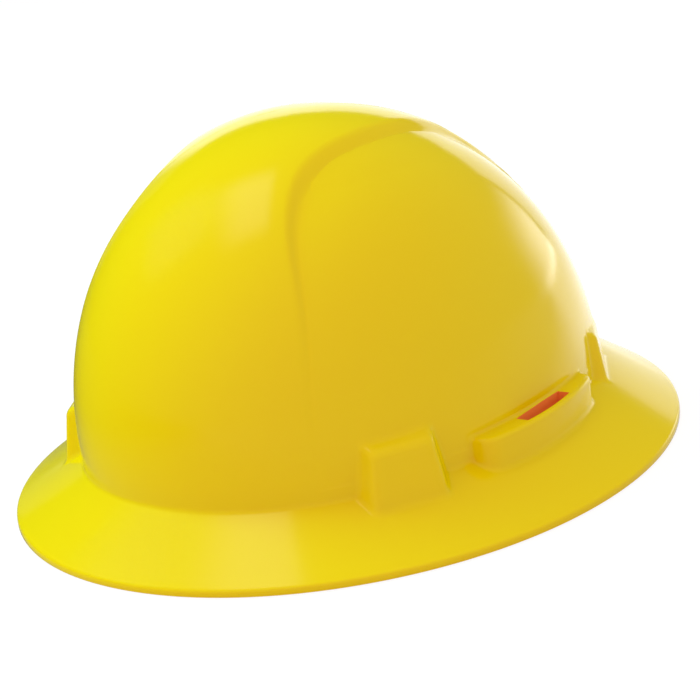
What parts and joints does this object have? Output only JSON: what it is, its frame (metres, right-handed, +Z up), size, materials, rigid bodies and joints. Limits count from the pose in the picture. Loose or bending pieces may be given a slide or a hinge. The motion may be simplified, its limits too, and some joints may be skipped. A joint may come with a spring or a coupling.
{
  "type": "full brim hard hat",
  "caption": "Domed work helmet with a wide full brim, side accessory slots and an inner webbing suspension that adjusts with a ratchet knob at the nape.",
  "frame": {"origin": "centre of the brim's outline, on the plane that its lower edge rests on", "axes": "-Y is the front of the hat, +X is the wearer's left, +Z is up to the crown"},
  "size_m": [0.287, 0.315, 0.156],
  "materials": {
    "shell_plastic": "moulded gloss",
    "band_plastic": "moulded satin",
    "brow_fabric": "knitted terry",
    "key_plastic": "moulded satin",
    "webbing": "woven",
    "patch_leather": "grained",
    "tail_plastic": "moulded satin",
    "housing_plastic": "moulded satin",
    "steel": "zinc plated",
    "gear_plastic": "natural acetal",
    "spring_steel": "polished",
    "knob_plastic": "fine texture",
    "nape_foam": "soft foam"
  },
  "bodies": {
    "shell": {"shell": "shell_plastic"},
    "suspension": {"headband": "band_plastic", "brow_pad": "brow_fabric", "front_right_key": "key_plastic", "front_left_key": "key_plastic", "rear_right_key": "key_plastic", "rear_left_key": "key_plastic", "hanger_studs": "key_plastic", "front_left_strap": "webbing", "front_right_strap": "webbing", "crown_patch": "patch_leather", "ratchet_housing": "housing_plastic", "ratchet_cover": "housing_plastic", "cover_screws": "steel", "detent_spring": "spring_steel", "nape_pad": "nape_foam"},
    "left_tail": {"left_rack_tail": "tail_plastic"},
    "right_tail": {"right_rack_tail": "tail_plastic"},
    "knob": {"ratchet_knob": "knob_plastic", "ratchet_pinion": "gear_plastic", "knob_screw": "steel"}
  },
  "joints": [
    {"name": "suspension_release", "type": "slide", "parent": "shell", "child": "suspension", "axis": [0, 0, -1], "range_m": [0, 0.03]},
    {"name": "knob_turn", "type": "hinge", "parent": "suspension", "child": "knob", "pos_m": [0, 0.1, 0.0225], "axis": [0, -1, 0], "range_deg": [-170, 170]},
    {"name": "left_tail_slide", "type": "hinge", "parent": "suspension", "child": "left_tail", "pos_m": [0, 0.013, 0], "axis": [0, 0, 1], "range_deg": [-10.6, 10.6]},
    {"name": "right_tail_slide", "type": "hinge", "parent": "suspension", "child": "right_tail", "pos_m": [0, 0.013, 0], "axis": [0, 0, 1], "range_deg": [-10.6, 10.6]}
  ],
  "couplings": [
    {"joint": "left_tail_slide", "follows": "knob_turn", "ratio": 0.062035},
    {"joint": "right_tail_slide", "follows": "knob_turn", "ratio": -0.062035}
  ]
}
